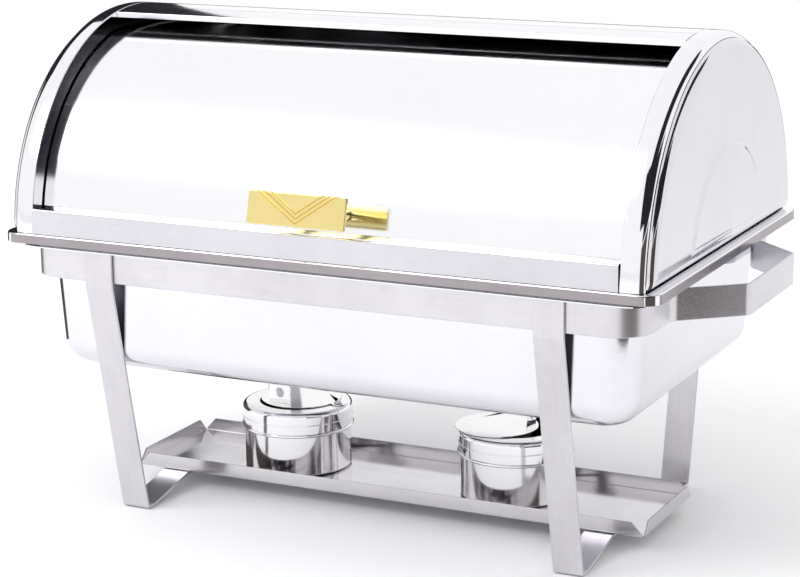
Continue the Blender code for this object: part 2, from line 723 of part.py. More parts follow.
def build_snuffer(name, pivot):
    """A disc that turns on the rivet, with an upright tab on its edge. Its origin is the pivot."""
    centre = (-SNUFFER_ARM, 0)
    low = GAP
    rings = [circle(SNUFFER_RADIUS, z, ROUND_STEPS, centre) for z in (low, low + THIN_SHEET)]
    disc = skin("snuffer_" + name, rings, "polished_steel", parent=pivot)
    ear = [circle(0.0060, z, 24) for z in (low, low + THIN_SHEET)]
    cut(disc, skin("ear", ear, "polished_steel", parent=pivot), "UNION")
    hole = [circle(RIVET_RADIUS + 0.0001, z, 24) for z in (low - 0.001, low + 0.002)]
    cut(disc, skin("hole", hole, "polished_steel", parent=pivot))
    edge = -TAB_EDGE
    corner = 0.005
    outline = [(-TAB_WIDTH / 2, low + 0.0002), (TAB_WIDTH / 2, low + 0.0002)]
    for side, start in ((1, 0), (-1, 90)):
        for step in range(5):
            angle = math.radians(start + 22.5 * step)
            across = side * (TAB_WIDTH / 2 - corner) + corner * math.cos(angle)
            outline.append((across, low + TAB_HEIGHT - corner + corner * math.sin(angle)))
    rings = [[(centre[0] + a, y, z) for a, z in outline] for y in (edge, edge + THIN_SHEET)]
    tab = skin("tab", rings, "polished_steel", parent=pivot)
    start = Vector((centre[0], edge - 0.002, low + TAB_HEIGHT - 0.0095))
    drill = rod(start, start + Vector((0, 1, 0)), [(0, TAB_HOLE), (0.006, TAB_HOLE)])
    cut(tab, skin("drill", drill, "polished_steel", parent=pivot))
    cut(disc, tab, "UNION")


FINISHES = {
    "polished_steel": ((0.86, 0.86, 0.87), 0.08),
    "satin_steel": ((0.72, 0.71, 0.73), 0.35),
    "gold": ((0.90, 0.76, 0.36), 0.15),
}

clear_scene()
build_stand()
build_lid(build_pans() + GAP)
build_roll_cover()
for burner, (burner_x, burner_y, direction, swung) in BURNERS.items():
    build_burner(burner, burner_x, burner_y, direction, swung)
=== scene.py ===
"""Looks of the roll-top chafing dish: fine surfaces, metal finishes, studio and camera.

Everything is in metres in the frame's own axes: +Z up, -Y towards the side that opens.
"""

import json
import math

import bmesh
import bpy
from mathutils import Matrix, Vector


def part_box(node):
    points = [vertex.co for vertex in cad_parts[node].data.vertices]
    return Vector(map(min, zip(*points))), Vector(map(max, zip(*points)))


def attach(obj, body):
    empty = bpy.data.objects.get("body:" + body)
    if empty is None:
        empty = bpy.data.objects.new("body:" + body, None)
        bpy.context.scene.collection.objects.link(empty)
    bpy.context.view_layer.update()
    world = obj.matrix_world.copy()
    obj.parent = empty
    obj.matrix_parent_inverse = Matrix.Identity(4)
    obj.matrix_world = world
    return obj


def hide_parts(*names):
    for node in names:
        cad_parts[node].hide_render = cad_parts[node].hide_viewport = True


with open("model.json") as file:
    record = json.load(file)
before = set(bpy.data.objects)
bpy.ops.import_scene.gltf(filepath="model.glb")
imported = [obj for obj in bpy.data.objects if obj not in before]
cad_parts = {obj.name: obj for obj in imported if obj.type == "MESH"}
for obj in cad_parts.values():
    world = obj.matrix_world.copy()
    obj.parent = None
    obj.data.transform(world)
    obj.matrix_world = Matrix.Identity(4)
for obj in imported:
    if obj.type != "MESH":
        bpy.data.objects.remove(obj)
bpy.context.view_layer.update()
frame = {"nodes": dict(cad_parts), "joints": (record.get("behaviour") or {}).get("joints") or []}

# ---------------------------------------------------------------- sizes (boxes come from the frame)

rim_low, rim_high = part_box("lid_base_frame")
CENTRE_Y = (rim_low.y + rim_high.y) / 2
RIM_HALF_X = rim_high.x
RIM_HALF_Y = rim_high.y - CENTRE_Y
RIM_TOP = rim_high.z
RIM_FOOT = rim_low.z
AXIS_Z = next(j for j in frame["joints"] if j["name"] == "cover_roll")["pos_m"][2]

GAP = 0.0003
SHEET = 0.0010
THIN_SHEET = 0.0008
LID_FOOT = RIM_TOP + GAP
ARCH_PROUD = 0.0005       # the fine arches stand this much proud of the CAD's
ARCH_RADIUS = round(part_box("rear_cover")[1].z - AXIS_Z + ARCH_PROUD, 4)
ARCH_INNER_X = -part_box("arch_band_left")[1].x
ARCH_OUTER_X = -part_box("arch_band_left")[0].x
ARCH_RECESS = 0.013
ARCH_OUTER_WALL = 0.0055
COVER_RADIUS = 0.160
COVER_HALF_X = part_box("roll_cover")[1].x
COVER_FRONT, COVER_REAR = 88.0, -6.0
STRIP_REAR, STRIP_FRONT = 4.5, 11.7
PANEL_RADIUS = ARCH_RADIUS - ARCH_OUTER_WALL - GAP
PANEL_ROUND = 0.007
PANEL_FACE_X = 0.2827
PANEL_FOOT_X = 0.2730
EMBOSS_RADIUS, EMBOSS_HEIGHT = 0.086, 0.0018
HANDLE_ANGLE = 76.0
PLATE_BACK, PLATE_THICKNESS = 0.1955, 0.0032
PLATE_HALF_WIDTH, PLATE_HALF_HEIGHT = 0.0425, 0.0130
POST_RADIUS, POST_SPACING, SCREW_RADIUS = 0.0035, 0.050, 0.0019

STRAP_WIDTH, STRAP_THICKNESS, STRAP_SOFT = 0.0253, 0.0025, 0.0006
BAND_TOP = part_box("stand_band")[1].z
HANDLE_HALF_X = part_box("stand_band")[1].x
SHELF_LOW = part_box("fuel_shelf")[0]
SHELF_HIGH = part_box("fuel_shelf")[1]

STEP_DEGREES = 1.5


# ---------------------------------------------------------------- mesh helpers

def add_skin(bm, rings, closed=False):
    """Faces between equally long loops of points."""
    rows = [[bm.verts.new(point) for point in ring] for ring in rings]
    pairs = list(zip(rows, rows[1:]))
    if closed:
        pairs.append((rows[-1], rows[0]))
    count = len(rows[0])
    for low, high in pairs:
        for i in range(count):
            j = (i + 1) % count
            bm.faces.new((low[i], low[j], high[j], high[i]))
    if not closed:
        bm.faces.new(list(reversed(rows[0])))
        bm.faces.new(rows[-1])


def make_object(name, bm, sharp=35.0):
    bmesh.ops.remove_doubles(bm, verts=bm.verts, dist=1e-6)
    bmesh.ops.recalc_face_normals(bm, faces=bm.faces)
    if bm.calc_volume(signed=True) < 0:
        bmesh.ops.reverse_faces(bm, faces=bm.faces)
    mesh = bpy.data.meshes.new(name)
    bm.to_mesh(mesh)
    bm.free()
    made = bpy.data.objects.new(name, mesh)
    bpy.context.scene.collection.objects.link(made)
    mesh.shade_smooth()
    mesh.set_sharp_from_angle(angle=math.radians(sharp))
    return made


def skinned(name, rings, closed=False, sharp=35.0):
    bm = bmesh.new()
    add_skin(bm, rings, closed)
    return make_object(name, bm, sharp)


def soften(made, width, segments=2, limit=40.0):
    """Rounds the edges of a piece by a bevel that keeps the flat faces flat."""
    bevel = made.modifiers.new("edges", "BEVEL")
    bevel.width = width
    bevel.segments = segments
    bevel.limit_method = "ANGLE"
    bevel.angle_limit = math.radians(limit)
    bevel.harden_normals = True
    bevel.use_clamp_overlap = True


def weigh_normals(made):
    weigh = made.modifiers.new("flat faces", "WEIGHTED_NORMAL")
    weigh.weight = 80
    weigh.keep_sharp = True


def dress(made, node, body, finish, edge=0.0):
    """Gives a made piece its finish and says what it stands for and moves with."""
    made.name = node + "_fine"
    made.data.materials.clear()
    made.data.materials.append(finish)
    if edge:
        soften(made, edge)
    else:
        weigh_normals(made)
    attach(made, body)
    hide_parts(node)
    return made


def cut(target, cutter, operation="DIFFERENCE"):
    bpy.context.view_layer.update()
    step = target.modifiers.new("cut", "BOOLEAN")
    step.operation = operation
    step.object = cutter
    step.solver = "EXACT"
    bpy.context.view_layer.update()
    shown = target.evaluated_get(bpy.context.evaluated_depsgraph_get())
    result = bpy.data.meshes.new_from_object(shown)
    target.modifiers.remove(step)
    target.data = result
    result.shade_smooth()
    result.set_sharp_from_angle(angle=math.radians(35.0))
    bpy.data.objects.remove(cutter)
    return target


def rounded_rectangle(half_x, half_y, corner, z, steps=12):
    points = []
    quarters = ((1, 1, 0), (-1, 1, 90), (-1, -1, 180), (1, -1, 270))
    for side_x, side_y, start in quarters:
        for step in range(steps + 1):
            angle = math.radians(start + 90 * step / steps)
            x = side_x * (half_x - corner) + corner * math.cos(angle)
            y = side_y * (half_y - corner) + corner * math.sin(angle)
            points.append((x, CENTRE_Y + y, z))
    return points


def circle(radius, z, centre=(0, 0), steps=96):
    points = []
    for step in range(steps):
        angle = 2 * math.pi * step / steps
        points.append((centre[0] + radius * math.cos(angle), centre[1] + radius * math.sin(angle), z))
    return points


def round_corner(before, corner, after, radius, steps):
    p, a, b = Vector(corner), Vector(before), Vector(after)
    to_a, to_b = (a - p).normalized(), (b - p).normalized()
    half = to_a.angle(to_b) / 2
    reach = radius / math.tan(half)
    centre = p + (to_a + to_b).normalized() * radius / math.sin(half)
    start, end = p + to_a * reach - centre, p + to_b * reach - centre
    turn = math.atan2(start.x * end.y - start.y * end.x, start.dot(end))
    return [centre + Matrix.Rotation(turn * step / steps, 2) @ start for step in range(steps + 1)]


def flat_path(corners, closed, steps=4):
    """A flat path through (a, b, radius) corners, with its bends rounded."""
    points = []
    for i, (a, b, radius) in enumerate(corners):
        is_end = not closed and i in (0, len(corners) - 1)
        if is_end or radius == 0:
            points.append(Vector((a, b)))
            continue
        before, after = corners[i - 1][:2], corners[(i + 1) % len(corners)][:2]
        points.extend(round_corner(before, (a, b), after, radius, steps))
    return points


def strap_edges(points, closed, thickness):
    """The two edges of a strap whose outer face follows a flat path."""
    pairs = []
    for i, here in enumerate(points):
        before = points[i - 1] if closed or i > 0 else None
        after = points[(i + 1) % len(points)] if closed or i < len(points) - 1 else None
        normals = []
        for start, end in ((before, here), (here, after)):
            if start is not None and end is not None and (end - start).length > 1e-9:
                run = (end - start).normalized()
                normals.append(Vector((-run.y, run.x)))
        normal = sum(normals, Vector((0, 0))).normalized()
        pairs.append((here, here + normal * thickness / normal.dot(normals[0])))
    return pairs


def arc_angles(start, end, step=STEP_DEGREES):
    count = max(1, round(abs(end - start) / step))
    return [start + (end - start) * i / count for i in range(count + 1)]


def on_arch(x, radius, degrees_from_apex):
    """A point around the cover's axis, with positive angles towards the front."""
    angle = math.radians(degrees_from_apex)
    return (x, CENTRE_Y - radius * math.sin(angle), AXIS_Z + radius * math.cos(angle))


def foot_angle(radius):
    return 90 - math.degrees(math.asin((LID_FOOT - AXIS_Z) / radius))


def rod(start, end, rings, steps=48):
    """Loops of a round rod along a line, from (distance, radius) pairs."""
    start, end = Vector(start), Vector(end)
    along = (end - start).normalized()
    turn = along.to_track_quat("Z", "Y").to_matrix()
    loops = []
    for distance, radius in rings:
        flat = circle(radius, 0, steps=steps)
        loops.append([start + along * distance + turn @ Vector(point) for point in flat])
    return loops


# ---------------------------------------------------------------- materials

def node_at(tree, kind, **values):
    made = tree.nodes.new(kind)
    for name, value in values.items():
        setattr(made, name, value)
    return made


def noise(tree, coordinates, stretch, scale, detail=3.0, roughness=0.5):
    """A noise texture on object coordinates, stretched along chosen axes."""
    mapping = node_at(tree, "ShaderNodeMapping")
    mapping.inputs["Scale"].default_value = stretch
    tree.links.new(coordinates, mapping.inputs["Vector"])
    made = node_at(tree, "ShaderNodeTexNoise")
    made.inputs["Scale"].default_value = scale
    made.inputs["Detail"].default_value = detail
    made.inputs["Roughness"].default_value = roughness
    tree.links.new(mapping.outputs["Vector"], made.inputs["Vector"])
    return made.outputs["Fac"]


def map_range(tree, value, low, high, to_low, to_high):
    made = node_at(tree, "ShaderNodeMapRange")
    for name, number in (("From Min", low), ("From Max", high), ("To Min", to_low), ("To Max", to_high)):
        made.inputs[name].default_value = number
    tree.links.new(value, made.inputs["Value"])
    return made.outputs["Result"]


def combine(tree, operation, a, b):
    made = node_at(tree, "ShaderNodeMath", operation=operation)
    for socket, value in zip(made.inputs, (a, b)):
        if isinstance(value, (int, float)):
            socket.default_value = value
        else:
            tree.links.new(value, socket)
    return made.outputs["Value"]


def metal(name, colour, dull_colour, rough, grain, grain_depth, smudge, scratch_depth):
    """Metal with a stretched grain, hazy patches, sparse fine scratches and worn edges."""
    made = bpy.data.materials.new(name)
    made.use_nodes = True
    tree = made.node_tree
    shader = tree.nodes["Principled BSDF"]
    shader.inputs["Metallic"].default_value = 1.0
    where = node_at(tree, "ShaderNodeTexCoord").outputs["Object"]

    fine = noise(tree, where, grain, 900.0, 4.0, 0.6)
    haze = noise(tree, where, (1.0, 1.0, 1.0), 9.0, 4.0, 0.55)
    rub = noise(tree, where, (1.0, 1.0, 1.0), 60.0, 3.0, 0.6)
    lines = noise(tree, where, (0.12, 1.0, 1.0), 340.0, 1.0, 0.4)
    cross = noise(tree, where, (1.0, 0.8, 0.15), 300.0, 1.0, 0.4)
    pointiness = node_at(tree, "ShaderNodeNewGeometry").outputs["Pointiness"]
    edges = map_range(tree, pointiness, 0.52, 0.60, 0.0, 1.0)
    scratches = combine(
        tree, "MAXIMUM",
        map_range(tree, lines, 0.74, 0.80, 0.0, 1.0),
        map_range(tree, cross, 0.75, 0.81, 0.0, 1.0),
    )

    low, high = rough
    patch = map_range(tree, haze, 0.35, 0.70, low, low + (high - low) * 0.6)
    grained = combine(tree, "ADD", patch, map_range(tree, fine, 0.3, 0.7, 0.0, (high - low) * 0.4))
    worn = combine(tree, "ADD", grained, combine(tree, "MULTIPLY", edges, 0.06))
    rubbed = combine(tree, "ADD", worn, combine(tree, "MULTIPLY", scratches, 0.10))
    tree.links.new(rubbed, shader.inputs["Roughness"])

    blend = node_at(tree, "ShaderNodeMix", data_type="RGBA")
    blend.inputs["A"].default_value = (*colour, 1.0)
    blend.inputs["B"].default_value = (*dull_colour, 1.0)
    dull = combine(tree, "MULTIPLY", map_range(tree, haze, 0.40, 0.75, 0.0, 1.0), smudge)
    for pattern, start, full in ((rub, 0.5, 0.8), (fine, 0.3, 0.7)):
        share = map_range(tree, pattern, start, full, 0.0, 1.0)
        dull = combine(tree, "ADD", dull, combine(tree, "MULTIPLY", share, smudge * 0.5))
    tree.links.new(dull, blend.inputs["Factor"])
    tree.links.new(blend.outputs["Result"], shader.inputs["Base Color"])

    raised = combine(tree, "MULTIPLY", fine, grain_depth)
    sunk = combine(tree, "MULTIPLY", scratches, scratch_depth)
    height = combine(tree, "SUBTRACT", raised, sunk)
    bump = node_at(tree, "ShaderNodeBump")
    bump.inputs["Strength"].default_value = 1.0
    bump.inputs["Distance"].default_value = 1.0
    tree.links.new(height, bump.inputs["Height"])
    tree.links.new(bump.outputs["Normal"], shader.inputs["Normal"])
    return made


MIRROR = metal(
    "mirror_polished_steel", (0.905, 0.908, 0.930), (0.84, 0.84, 0.87), (0.035, 0.085),
    (0.05, 1.0, 1.0), 1.2e-7, 0.35, 1.5e-6)
ARCH_STEEL = metal(
    "arch_band_steel", (0.885, 0.890, 0.920), (0.80, 0.80, 0.84), (0.04, 0.10),
    (1.0, 0.05, 1.0), 2.0e-7, 0.40, 2.0e-6)
# Darker than the rest of the frame: a painted dark reflection on the lip, not the steel's own colour.
RIM_LIP_PAINTED_REFLECTION = metal(
    "rim_lip_painted_reflection", (0.36, 0.33, 0.345), (0.28, 0.255, 0.265), (0.14, 0.24),
    (0.05, 1.0, 1.0), 1.0e-6, 0.50, 2.0e-6)
RAIL_STEEL = metal(
    "front_rail_steel", (0.63, 0.62, 0.655), (0.53, 0.52, 0.55), (0.07, 0.15),
    (0.03, 1.0, 1.0), 6.0e-7, 0.50, 2.5e-6)
MIRROR_ENDS = metal(
    "pressed_steel_ends", (0.74, 0.735, 0.765), (0.64, 0.63, 0.67), (0.05, 0.12),
    (1.0, 0.05, 1.0), 2.0e-7, 0.40, 2.0e-6)
PAN_MIRROR = metal(
    "drawn_pan_steel", (0.80, 0.803, 0.84), (0.71, 0.71, 0.75), (0.05, 0.11),
    (0.06, 0.06, 1.0), 2.5e-7, 0.40, 2.0e-6)
SATIN_X = metal(
    "satin_strap_along_x", (0.71, 0.695, 0.73), (0.59, 0.57, 0.60), (0.24, 0.36),
    (0.03, 1.0, 1.0), 3.0e-6, 0.60, 3.0e-6)
SATIN_Z = metal(
    "satin_strap_along_z", (0.71, 0.695, 0.73), (0.59, 0.57, 0.60), (0.24, 0.36),
    (1.0, 0.05, 0.03), 3.0e-6, 0.60, 3.0e-6)
SHELF_STEEL = metal(
    "shelf_steel", (0.70, 0.685, 0.71), (0.58, 0.56, 0.58), (0.08, 0.16),
    (0.03, 1.0, 1.0), 6.0e-7, 0.50, 2.5e-6)
PAN_STEEL = metal(
    "food_pan_steel", (0.84, 0.83, 0.84), (0.74, 0.73, 0.75), (0.16, 0.28),
    (0.04, 1.0, 1.0), 1.5e-6, 0.50, 2.5e-6)
SPUN_STEEL = metal(
    "spun_burner_steel", (0.90, 0.89, 0.90), (0.80, 0.79, 0.80), (0.05, 0.11),
    (0.2, 0.2, 1.0), 4.0e-7, 0.45, 2.0e-6)
GOLD = metal(
    "gold_plating", (0.86, 0.715, 0.31), (0.74, 0.60, 0.24), (0.06, 0.14),
    (0.05, 1.0, 1.0), 4.0e-7, 0.45, 2.0e-6)
SMALL_STEEL = metal(
    "turned_fastener_steel", (0.72, 0.71, 0.73), (0.58, 0.57, 0.58), (0.18, 0.30),
    (1.0, 1.0, 1.0), 1.0e-6, 0.60, 2.0e-6)


# ---------------------------------------------------------------- stand

def make_band():
    half_x, half_y = 0.2717, 0.1651
    handle_y, root_y = 0.0576, 0.100
    right = [
        (half_x, -half_y, 0.030), (half_x, -root_y, 0.014),
        (HANDLE_HALF_X, -handle_y, 0.010), (HANDLE_HALF_X, handle_y, 0.010),
        (half_x, root_y, 0.014), (half_x, half_y, 0.030),
    ]
    left = [(-a, -b, radius) for a, b, radius in right]
    rings = []
    for outer, inner in strap_edges(flat_path(right + left, True, 12), True, STRAP_THICKNESS):
        low, high = BAND_TOP - STRAP_WIDTH, BAND_TOP
        ring = [(outer, low), (outer, high), (inner, high), (inner, low)]
        rings.append([(point.x, CENTRE_Y + point.y, z) for point, z in ring])
    dress(skinned("band", rings, True), "stand_band", "stand", SATIN_X, STRAP_SOFT)


def make_leg(side, name):
    """A strap hoop: down from the band, in to the foot, and under the shelf."""
    top_y, bend_z, middle_x = 0.1681, 0.203, 0.1992
    foot_outer_y, foot_inner_y = 0.1254, 0.1154
    bar_y, bar_top = 0.0600, 0.0136
    half = [
        (top_y, BAND_TOP, 0), (top_y, bend_z, 0.012), (foot_outer_y, 0.0, 0.004),
        (foot_inner_y, 0.0, 0.008), (bar_y, bar_top - STRAP_THICKNESS, 0.012),
    ]
    front = [(-y, z, radius) for y, z, radius in half]
    path = flat_path(front + list(reversed(half)), False, 12)
    lowest = min(point.y for point in path)
    x_low = side * middle_x - STRAP_WIDTH / 2
    x_high = side * middle_x + STRAP_WIDTH / 2
    rings = []
    for outer, inner in strap_edges(path, False, STRAP_THICKNESS):
        ring = [(outer, x_low), (outer, x_high), (inner, x_high), (inner, x_low)]
        rings.append([(x, CENTRE_Y + point.x, point.y - lowest) for point, x in ring])
    dress(skinned("leg", rings), "leg_" + name, "stand", SATIN_Z, STRAP_SOFT)


def make_shelf():
    """One bent sheet: a plate and four flanges with ends cut at 45 degrees."""
    bend, bend_steps, corner_gap = 0.0014, 5, 0.001
    half_x, half_y = SHELF_HIGH.x, SHELF_HIGH.y - CENTRE_Y
    bottom, top = SHELF_LOW.z, SHELF_HIGH.z
    bm = bmesh.new()
    flat_x, flat_y = half_x - bend, half_y - bend
    corners = [(flat_x, flat_y), (-flat_x, flat_y), (-flat_x, -flat_y), (flat_x, -flat_y)]
    base = [bm.verts.new((x, CENTRE_Y + y, bottom)) for x, y in corners]
    bm.faces.new(base)
    for i in range(4):
        start, end = Vector(corners[i]), Vector(corners[(i + 1) % 4])
        along = (end - start).normalized()
        outward = Vector((along.y, -along.x))
        low = (base[i], base[(i + 1) % 4])
        rows = []
        for step in range(1, bend_steps + 1):
            angle = math.radians(90 * step / bend_steps)
            rows.append((bend * math.sin(angle), bend * (1 - math.cos(angle)), 0.0))
        rows.append((bend, top - bottom, top - bottom - bend - corner_gap))
        for reach, height, trim in rows:
            row = []
            for corner, direction in ((start, 1), (end, -1)):
                spot = corner + outward * reach + along * direction * trim
                row.append(bm.verts.new((spot.x, CENTRE_Y + spot.y, bottom + height)))
            bm.faces.new((low[0], low[1], row[1], row[0]))
            low = row
    bmesh.ops.recalc_face_normals(bm, faces=bm.faces)
    plate = next(face for face in bm.faces if len(face.verts) == 4 and face.calc_area() > 0.01)
    if plate.normal.z > 0:
        bmesh.ops.reverse_faces(bm, faces=bm.faces)
    mesh = bpy.data.meshes.new("shelf")
    bm.to_mesh(mesh)
    bm.free()
    made = bpy.data.objects.new("shelf", mesh)
    bpy.context.scene.collection.objects.link(made)
    thick = made.modifiers.new("sheet", "SOLIDIFY")
    thick.thickness = SHEET
    thick.offset = -1.0
    mesh.shade_smooth()
    mesh.set_sharp_from_angle(angle=math.radians(35.0))
    dress(made, "fuel_shelf", "stand", SHELF_STEEL)


# ---------------------------------------------------------------- pans

def pan_rings(half, corner, bottom, top, taper, edge, thickness, flange):
    half_x, half_y = half
    flange_x, flange_y, flange_corner = flange
    outer, inner = [], []
    steps = 14
    for step in range(steps + 1):
        angle = math.radians(90 - 90 * step / steps)
        for loops, wall in ((outer, 0.0), (inner, thickness)):
            radius = edge - wall
            back = taper + wall + radius * (1 - math.cos(angle))
            z = bottom + wall + radius * (1 - math.sin(angle))
            turn = corner - min(back, corner * 0.75)
            loops.append(rounded_rectangle(half_x - back, half_y - back, turn, z))
    under = top - thickness
    rings = list(outer)
    roll, roll_steps = 0.002, 4
    for wall, loops in ((0.0, rings), (thickness, None)):
        bend = []
        for step in range(roll_steps + 1):
            angle = math.radians(90 * step / roll_steps)
            grow = roll * (1 - math.cos(angle)) - wall
            z = under - roll + roll * math.sin(angle) + (wall if step else 0.0)
            bend.append(rounded_rectangle(half_x + grow, half_y + grow, corner - wall, z))
        if loops is not None:
            loops.extend(bend)
        else:
            back_down = list(reversed(bend))
    rings.append(rounded_rectangle(flange_x, flange_y, flange_corner, under))
    rings.append(rounded_rectangle(flange_x, flange_y, flange_corner, top))
    return rings + back_down + list(reversed(inner))


def make_pans():
    """The deep water pan, and the standard food pan that hangs in its mouth."""
    low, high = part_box("water_pan")
    rings = pan_rings(
        half=(0.2635, 0.1585), corner=0.036, bottom=low.z, top=high.z, taper=0.005, edge=0.022,
        thickness=SHEET, flange=(high.x, high.y - CENTRE_Y, 0.020))
    dress(skinned("pan", rings), "water_pan", "water_pan", PAN_MIRROR)
    low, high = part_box("food_pan")
    rings = pan_rings(
        half=(0.2530, 0.1505), corner=0.030, bottom=low.z, top=high.z, taper=0.006, edge=0.016,
        thickness=THIN_SHEET, flange=(high.x, high.y - CENTRE_Y, 0.022))
    dress(skinned("pan", rings), "food_pan", "food_pan", PAN_STEEL)


# ---------------------------------------------------------------- lid

def make_lid_frame():
    well_x, well_y = 0.2690, 0.1645
    soft = 0.0016
    profile = [(RIM_HALF_X, RIM_HALF_Y, 0.016, RIM_TOP - 0.008)]
    for step in range(6):
        angle = math.radians(90 * step / 5)
        inset = soft * (1 - math.cos(angle))
        z = RIM_TOP - soft + soft * math.sin(angle)
        profile.append((RIM_HALF_X - inset, RIM_HALF_Y - inset, 0.016 - inset, z))
    profile += [
        (well_x, well_y, 0.012, RIM_TOP), (well_x, well_y, 0.012, RIM_FOOT),
        (well_x + SHEET, well_y + SHEET, 0.013, RIM_FOOT),
        (well_x + SHEET, well_y + SHEET, 0.013, RIM_TOP - SHEET),
        (RIM_HALF_X - SHEET, RIM_HALF_Y - SHEET, 0.015, RIM_TOP - SHEET),
        (RIM_HALF_X - SHEET, RIM_HALF_Y - SHEET, 0.015, RIM_TOP - 0.008),
    ]
    rings = [rounded_rectangle(x, y, corner, z) for x, y, corner, z in profile]
    made = skinned("rim", rings, True)
    for side in (-1, 1):
        start = (side * (well_x - 0.003), CENTRE_Y, AXIS_Z)
        end = (side * (well_x + 0.004), CENTRE_Y, AXIS_Z)
        cut(made, skinned("hole", rod(start, end, [(0, 0.0023), (0.007, 0.0023)])))
    dress(made, "lid_base_frame", "lid", MIRROR)
    # The lip's outer upright faces get the painted dark reflection.
    made.data.materials.append(RIM_LIP_PAINTED_REFLECTION)
    for face in made.data.polygons:
        spot = face.center
        outside = abs(spot.x) > RIM_HALF_X - 0.0012 or abs(spot.y - CENTRE_Y) > RIM_HALF_Y - 0.0012
        if outside and abs(face.normal.z) < 0.5:
            face.material_index = 1


def make_arch_band(side, name):
    inner, outer, top = ARCH_INNER_X, ARCH_OUTER_X, ARCH_RADIUS
    crown, drop, crown_steps = 0.0105, ARCH_OUTER_WALL, 12
    corners = [(inner, top, 0.0009), (inner, top - ARCH_RECESS, 0), (inner + SHEET, top - ARCH_RECESS, 0),
               (inner + SHEET, top - SHEET, 0.0004), (outer - crown, top - SHEET, 0)]
    for radius_x, radius_z, turns in (
        (crown - SHEET, drop - SHEET, range(1, crown_steps + 1)), (crown, drop, range(crown_steps, -1, -1))
    ):
        for step in turns:
            angle = math.radians(90 * step / crown_steps)
            across = outer - crown + radius_x * math.sin(angle)
            corners.append((across, top - drop + radius_z * math.cos(angle), 0))
    outline = [(side * point.x, point.y) for point in flat_path(corners, True, 5)]
    rings = []
    for degrees in arc_angles(-90, 90):
        ring = []
        for x, radius in outline:
            end = foot_angle(radius)
            ring.append(on_arch(x, radius, max(-end, min(end, degrees * end / 90))))
        rings.append(ring)
    dress(skinned("band", rings), "arch_band_" + name, "lid", ARCH_STEEL)


def half_disc(radius, bottom, x_arc, x_bottom, steps=96):
    start = math.asin((bottom - AXIS_Z) / radius)
    points = []
    for step in range(steps + 1):
        angle = start + (math.pi - 2 * start) * step / steps
        points.append((x_arc, CENTRE_Y - radius * math.cos(angle), AXIS_Z + radius * math.sin(angle)))
    for end in (0, -1):
        points[end] = (x_bottom, *points[end][1:])
    return points


def make_end_panel(side, name):
    edge_x = ARCH_OUTER_X + GAP
    stations = []
    round_steps = 10
    for step in range(round_steps + 1):
        angle = math.radians(90 * step / round_steps)
        rise, inward = math.sin(angle), PANEL_ROUND * (1 - math.cos(angle))
        stations.append((
            PANEL_RADIUS - inward, LID_FOOT + inward * 1.3,
            edge_x + (PANEL_FACE_X - edge_x) * rise,
            PANEL_FOOT_X + (PANEL_FACE_X - PANEL_FOOT_X) * rise))
    emboss_steps = 8
    for step in range(emboss_steps + 1):
        part = step / emboss_steps
        rise = EMBOSS_HEIGHT * (1 - math.cos(math.pi * part)) / 2
        x = PANEL_FACE_X + rise
        stations.append((EMBOSS_RADIUS + 0.004 - 0.006 * part, LID_FOOT + 0.010 + 0.006 * part, x, x))
    outer = [half_disc(radius, low, side * x, side * foot) for radius, low, x, foot in stations]
    radius, low, x, foot = stations[0]
    inner = [half_disc(radius - SHEET, low, side * x, side * (foot - SHEET))]
    for radius, low, x, foot in stations[2:]:
        back_x, back_foot = side * (x - SHEET), side * (foot - SHEET)
        inner.append(half_disc(radius - 0.7 * SHEET, low + 0.8 * SHEET, back_x, back_foot))
    rings = list(reversed(outer)) + inner
    dress(skinned("panel", rings, sharp=24.0), "end_panel_" + name, "lid", MIRROR_ENDS)


def make_shell(name, half, outer, thickness, start, end):
    """A curved sheet around the cover's axis."""
    inner = outer - thickness
    outline = [(-half, inner), (half, inner), (half, outer), (-half, outer)]
    rings = [[on_arch(x, radius, angle) for x, radius in outline] for angle in arc_angles(start, end)]
    return skinned(name, rings)


def make_top_strip():
    half = ARCH_INNER_X - GAP
    outer, inner, fold = ARCH_RADIUS, ARCH_RADIUS - SHEET, ARCH_RADIUS - 0.0045
    thick = math.degrees(SHEET / outer)
    soft = 0.0009
    soft_angle = math.degrees(soft / outer)
    angles = arc_angles(STRIP_REAR, STRIP_FRONT - soft_angle, 0.8)
    outline = [(outer, angle) for angle in angles]
    for step in range(1, 4):
        turn = math.radians(30 * step)
        radius = outer - soft * (1 - math.cos(turn))
        outline.append((radius, STRIP_FRONT - soft_angle * (1 - math.sin(turn))))
    outline += [(fold, STRIP_FRONT), (fold, STRIP_FRONT - thick), (inner, STRIP_FRONT - thick)]
    outline += [(inner, angle) for angle in reversed(angles[:-1])]
    rings = [[on_arch(x, radius, angle) for radius, angle in outline] for x in (-half, half)]
    dress(skinned("strip", rings), "top_strip", "lid", ARCH_STEEL)


def make_front_rail():
    half = ARCH_INNER_X - GAP
    foot, top = LID_FOOT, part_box("front_rail")[1].z
    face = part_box("front_rail")[0].y - CENTRE_Y
    reach = -math.sqrt((COVER_RADIUS + 0.0015) ** 2 - (top - AXIS_Z) ** 2)
    sill = -(COVER_RADIUS - 0.003)
    corners = [
        (face, foot, 0), (face, top, 0.0018), (reach, top, 0), (reach, top - SHEET, 0),
        (face + SHEET, top - SHEET, 0.0008), (face + SHEET, foot + SHEET, 0.0004),
        (sill, foot + SHEET, 0), (sill, foot, 0),
    ]
    outline = flat_path(corners, True, 6)
    rings = [[(x, CENTRE_Y + point.x, point.y) for point in outline] for x in (-half, half)]
    dress(skinned("rail", rings), "front_rail", "lid", RAIL_STEEL)


